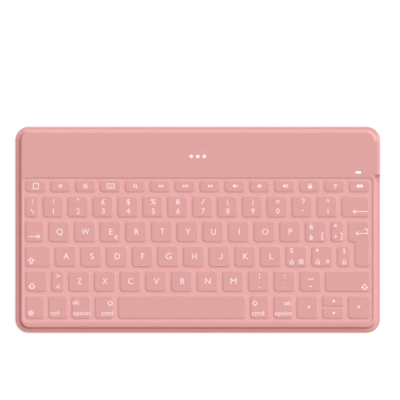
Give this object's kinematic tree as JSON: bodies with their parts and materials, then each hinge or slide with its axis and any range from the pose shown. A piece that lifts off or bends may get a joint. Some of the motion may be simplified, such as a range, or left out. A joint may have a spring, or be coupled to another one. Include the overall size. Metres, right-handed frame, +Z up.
{
  "type": "wireless tablet keyboard",
  "caption": "Slim fabric-covered wireless keyboard for a tablet, with a raised electronics bay above a sunken key well, soft domed keys, side charging socket and side power switch.",
  "frame": {"origin": "on the underside, at the middle of the body's outline", "axes": "+X to the right of the person typing, +Y away from them towards the electronics bay, +Z up out of the keys"},
  "size_m": [0.242, 0.137, 0.006],
  "materials": {
    "skin_fabric": "matte pink coated fabric with a fine grain",
    "skin_fabric_back": "matte pink coated fabric, flat laminated back",
    "key_cap_plastic": "moulded, unpainted",
    "frame_plastic": "moulded, fine spark texture",
    "plate_steel": "rolled stainless sheet",
    "membrane_film": "translucent film with printed tracks",
    "flex_film": "amber film",
    "dome_rubber": "translucent silicone",
    "battery_pouch": "dull laminated foil",
    "board_laminate": "green solder mask",
    "component_metal": "tinned shields and black packages",
    "fastener_steel": "machined",
    "socket_steel": "stamped, nickel plated",
    "socket_insulator": "moulded black",
    "switch_case": "moulded black",
    "switch_knob": "moulded, colour matched",
    "light_lens": "polished, milky",
    "wire_steel": "drawn spring wire"
  },
  "bodies": {
    "chassis": {"top_skin": "skin_fabric", "bottom_skin": "skin_fabric_back", "perimeter_frame": "frame_plastic", "key_grid_frame": "frame_plastic", "base_plate": "plate_steel", "membrane_circuit": "membrane_film", "membrane_tail": "flex_film", "rubber_domes": "dome_rubber", "bay_cover": "frame_plastic", "battery_cell": "battery_pouch", "circuit_board": "board_laminate", "board_components": "component_metal", "board_screws": "fastener_steel", "usb_socket_shell": "socket_steel", "usb_socket_insulator": "socket_insulator", "power_switch_body": "switch_case", "status_light_lens": "light_lens"},
    "backspace_key_body": {"backspace_key": "key_cap_plastic"},
    "tab_key_body": {"tab_key": "key_cap_plastic"},
    "caps_lock_key_body": {"caps_lock_key": "key_cap_plastic"},
    "left_shift_key_body": {"left_shift_key": "key_cap_plastic"},
    "right_shift_key_body": {"right_shift_key": "key_cap_plastic"},
    "space_bar_body": {"space_bar": "key_cap_plastic"},
    "arrow_left_key_body": {"arrow_left_key": "key_cap_plastic"},
    "arrow_up_key_body": {"arrow_up_key": "key_cap_plastic"},
    "arrow_down_key_body": {"arrow_down_key": "key_cap_plastic"},
    "arrow_right_key_body": {"arrow_right_key": "key_cap_plastic"},
    "enter_key_body": {"enter_key": "key_cap_plastic"},
    "key_q_body": {"key_q": "key_cap_plastic"},
    "key_w_body": {"key_w": "key_cap_plastic"},
    "key_e_body": {"key_e": "key_cap_plastic"},
    "key_r_body": {"key_r": "key_cap_plastic"},
    "key_t_body": {"key_t": "key_cap_plastic"},
    "key_y_body": {"key_y": "key_cap_plastic"},
    "key_u_body": {"key_u": "key_cap_plastic"},
    "key_i_body": {"key_i": "key_cap_plastic"},
    "key_o_body": {"key_o": "key_cap_plastic"},
    "key_p_body": {"key_p": "key_cap_plastic"},
    "key_a_body": {"key_a": "key_cap_plastic"},
    "key_s_body": {"key_s": "key_cap_plastic"},
    "key_d_body": {"key_d": "key_cap_plastic"},
    "key_f_body": {"key_f": "key_cap_plastic"},
    "key_g_body": {"key_g": "key_cap_plastic"},
    "key_h_body": {"key_h": "key_cap_plastic"},
    "key_j_body": {"key_j": "key_cap_plastic"},
    "key_k_body": {"key_k": "key_cap_plastic"},
    "key_l_body": {"key_l": "key_cap_plastic"},
    "key_z_body": {"key_z": "key_cap_plastic"},
    "key_x_body": {"key_x": "key_cap_plastic"},
    "key_c_body": {"key_c": "key_cap_plastic"},
    "key_v_body": {"key_v": "key_cap_plastic"},
    "key_b_body": {"key_b": "key_cap_plastic"},
    "key_n_body": {"key_n": "key_cap_plastic"},
    "key_m_body": {"key_m": "key_cap_plastic"},
    "function_row_keys_body": {"function_row_keys": "key_cap_plastic"},
    "number_row_keys_body": {"number_row_keys": "key_cap_plastic"},
    "punctuation_keys_body": {"punctuation_keys": "key_cap_plastic"},
    "modifier_keys_body": {"modifier_keys": "key_cap_plastic"},
    "power_switch_slider_body": {"power_switch_slider": "switch_knob"},
    "stabiliser_wire_body": {"space_stabiliser_wire": "wire_steel"}
  },
  "joints": [
    {"name": "backspace_key_press", "type": "slide", "parent": "chassis", "child": "backspace_key_body", "axis": [0, 0, -1], "range_m": [0, 0.0012], "stiffness_N_per_m": 450, "springref_m": -0.0002},
    {"name": "tab_key_press", "type": "slide", "parent": "chassis", "child": "tab_key_body", "axis": [0, 0, -1], "range_m": [0, 0.0012], "stiffness_N_per_m": 450, "springref_m": -0.0002},
    {"name": "caps_lock_key_press", "type": "slide", "parent": "chassis", "child": "caps_lock_key_body", "axis": [0, 0, -1], "range_m": [0, 0.0012], "stiffness_N_per_m": 450, "springref_m": -0.0002},
    {"name": "left_shift_key_press", "type": "slide", "parent": "chassis", "child": "left_shift_key_body", "axis": [0, 0, -1], "range_m": [0, 0.0012], "stiffness_N_per_m": 450, "springref_m": -0.0002},
    {"name": "right_shift_key_press", "type": "slide", "parent": "chassis", "child": "right_shift_key_body", "axis": [0, 0, -1], "range_m": [0, 0.0012], "stiffness_N_per_m": 450, "springref_m": -0.0002},
    {"name": "space_bar_press", "type": "slide", "parent": "chassis", "child": "space_bar_body", "axis": [0, 0, -1], "range_m": [0, 0.0012], "stiffness_N_per_m": 600, "springref_m": -0.0002, "deforming": ["top_skin", "rubber_domes"]},
    {"name": "arrow_left_key_press", "type": "slide", "parent": "chassis", "child": "arrow_left_key_body", "axis": [0, 0, -1], "range_m": [0, 0.0012], "stiffness_N_per_m": 450, "springref_m": -0.0002},
    {"name": "arrow_up_key_press", "type": "slide", "parent": "chassis", "child": "arrow_up_key_body", "axis": [0, 0, -1], "range_m": [0, 0.0012], "stiffness_N_per_m": 450, "springref_m": -0.0002},
    {"name": "arrow_down_key_press", "type": "slide", "parent": "chassis", "child": "arrow_down_key_body", "axis": [0, 0, -1], "range_m": [0, 0.0012], "stiffness_N_per_m": 450, "springref_m": -0.0002},
    {"name": "arrow_right_key_press", "type": "slide", "parent": "chassis", "child": "arrow_right_key_body", "axis": [0, 0, -1], "range_m": [0, 0.0012], "stiffness_N_per_m": 450, "springref_m": -0.0002},
    {"name": "enter_key_press", "type": "slide", "parent": "chassis", "child": "enter_key_body", "axis": [0, 0, -1], "range_m": [0, 0.0012], "stiffness_N_per_m": 450, "springref_m": -0.0002},
    {"name": "key_q_press", "type": "slide", "parent": "chassis", "child": "key_q_body", "axis": [0, 0, -1], "range_m": [0, 0.0012], "stiffness_N_per_m": 450, "springref_m": -0.0002},
    {"name": "key_w_press", "type": "slide", "parent": "chassis", "child": "key_w_body", "axis": [0, 0, -1], "range_m": [0, 0.0012], "stiffness_N_per_m": 450, "springref_m": -0.0002},
    {"name": "key_e_press", "type": "slide", "parent": "chassis", "child": "key_e_body", "axis": [0, 0, -1], "range_m": [0, 0.0012], "stiffness_N_per_m": 450, "springref_m": -0.0002},
    {"name": "key_r_press", "type": "slide", "parent": "chassis", "child": "key_r_body", "axis": [0, 0, -1], "range_m": [0, 0.0012], "stiffness_N_per_m": 450, "springref_m": -0.0002},
    {"name": "key_t_press", "type": "slide", "parent": "chassis", "child": "key_t_body", "axis": [0, 0, -1], "range_m": [0, 0.0012], "stiffness_N_per_m": 450, "springref_m": -0.0002},
    {"name": "key_y_press", "type": "slide", "parent": "chassis", "child": "key_y_body", "axis": [0, 0, -1], "range_m": [0, 0.0012], "stiffness_N_per_m": 450, "springref_m": -0.0002},
    {"name": "key_u_press", "type": "slide", "parent": "chassis", "child": "key_u_body", "axis": [0, 0, -1], "range_m": [0, 0.0012], "stiffness_N_per_m": 450, "springref_m": -0.0002},
    {"name": "key_i_press", "type": "slide", "parent": "chassis", "child": "key_i_body", "axis": [0, 0, -1], "range_m": [0, 0.0012], "stiffness_N_per_m": 450, "springref_m": -0.0002},
    {"name": "key_o_press", "type": "slide", "parent": "chassis", "child": "key_o_body", "axis": [0, 0, -1], "range_m": [0, 0.0012], "stiffness_N_per_m": 450, "springref_m": -0.0002},
    {"name": "key_p_press", "type": "slide", "parent": "chassis", "child": "key_p_body", "axis": [0, 0, -1], "range_m": [0, 0.0012], "stiffness_N_per_m": 450, "springref_m": -0.0002},
    {"name": "key_a_press", "type": "slide", "parent": "chassis", "child": "key_a_body", "axis": [0, 0, -1], "range_m": [0, 0.0012], "stiffness_N_per_m": 450, "springref_m": -0.0002},
    {"name": "key_s_press", "type": "slide", "parent": "chassis", "child": "key_s_body", "axis": [0, 0, -1], "range_m": [0, 0.0012], "stiffness_N_per_m": 450, "springref_m": -0.0002},
    {"name": "key_d_press", "type": "slide", "parent": "chassis", "child": "key_d_body", "axis": [0, 0, -1], "range_m": [0, 0.0012], "stiffness_N_per_m": 450, "springref_m": -0.0002},
    {"name": "key_f_press", "type": "slide", "parent": "chassis", "child": "key_f_body", "axis": [0, 0, -1], "range_m": [0, 0.0012], "stiffness_N_per_m": 450, "springref_m": -0.0002},
    {"name": "key_g_press", "type": "slide", "parent": "chassis", "child": "key_g_body", "axis": [0, 0, -1], "range_m": [0, 0.0012], "stiffness_N_per_m": 450, "springref_m": -0.0002},
    {"name": "key_h_press", "type": "slide", "parent": "chassis", "child": "key_h_body", "axis": [0, 0, -1], "range_m": [0, 0.0012], "stiffness_N_per_m": 450, "springref_m": -0.0002},
    {"name": "key_j_press", "type": "slide", "parent": "chassis", "child": "key_j_body", "axis": [0, 0, -1], "range_m": [0, 0.0012], "stiffness_N_per_m": 450, "springref_m": -0.0002},
    {"name": "key_k_press", "type": "slide", "parent": "chassis", "child": "key_k_body", "axis": [0, 0, -1], "range_m": [0, 0.0012], "stiffness_N_per_m": 450, "springref_m": -0.0002},
    {"name": "key_l_press", "type": "slide", "parent": "chassis", "child": "key_l_body", "axis": [0, 0, -1], "range_m": [0, 0.0012], "stiffness_N_per_m": 450, "springref_m": -0.0002},
    {"name": "key_z_press", "type": "slide", "parent": "chassis", "child": "key_z_body", "axis": [0, 0, -1], "range_m": [0, 0.0012], "stiffness_N_per_m": 450, "springref_m": -0.0002},
    {"name": "key_x_press", "type": "slide", "parent": "chassis", "child": "key_x_body", "axis": [0, 0, -1], "range_m": [0, 0.0012], "stiffness_N_per_m": 450, "springref_m": -0.0002},
    {"name": "key_c_press", "type": "slide", "parent": "chassis", "child": "key_c_body", "axis": [0, 0, -1], "range_m": [0, 0.0012], "stiffness_N_per_m": 450, "springref_m": -0.0002},
    {"name": "key_v_press", "type": "slide", "parent": "chassis", "child": "key_v_body", "axis": [0, 0, -1], "range_m": [0, 0.0012], "stiffness_N_per_m": 450, "springref_m": -0.0002},
    {"name": "key_b_press", "type": "slide", "parent": "chassis", "child": "key_b_body", "axis": [0, 0, -1], "range_m": [0, 0.0012], "stiffness_N_per_m": 450, "springref_m": -0.0002},
    {"name": "key_n_press", "type": "slide", "parent": "chassis", "child": "key_n_body", "axis": [0, 0, -1], "range_m": [0, 0.0012], "stiffness_N_per_m": 450, "springref_m": -0.0002},
    {"name": "key_m_press", "type": "slide", "parent": "chassis", "child": "key_m_body", "axis": [0, 0, -1], "range_m": [0, 0.0012], "stiffness_N_per_m": 450, "springref_m": -0.0002},
    {"name": "function_row_keys_press", "type": "slide", "parent": "chassis", "child": "function_row_keys_body", "axis": [0, 0, -1], "range_m": [0, 0.0012], "stiffness_N_per_m": 1200, "springref_m": -0.0002},
    {"name": "number_row_keys_press", "type": "slide", "parent": "chassis", "child": "number_row_keys_body", "axis": [0, 0, -1], "range_m": [0, 0.0012], "stiffness_N_per_m": 1200, "springref_m": -0.0002},
    {"name": "punctuation_keys_press", "type": "slide", "parent": "chassis", "child": "punctuation_keys_body", "axis": [0, 0, -1], "range_m": [0, 0.0012], "stiffness_N_per_m": 1200, "springref_m": -0.0002},
    {"name": "modifier_keys_press", "type": "slide", "parent": "chassis", "child": "modifier_keys_body", "axis": [0, 0, -1], "range_m": [0, 0.0012], "stiffness_N_per_m": 1200, "springref_m": -0.0002},
    {"name": "power_switch_slide", "type": "slide", "parent": "chassis", "child": "power_switch_slider_body", "axis": [0, 1, 0], "range_m": [0, 0.002]},
    {"name": "stabiliser_wire_hinge", "type": "hinge", "parent": "chassis", "child": "stabiliser_wire_body", "pos_m": [-0.01068, -0.0564, 0.00195], "axis": [1, 0, 0], "range_deg": [-9.8, 0]}
  ],
  "couplings": [
    {"joint": "stabiliser_wire_hinge", "follows": "space_bar_press", "rad_per_m": -141.48}
  ]
}
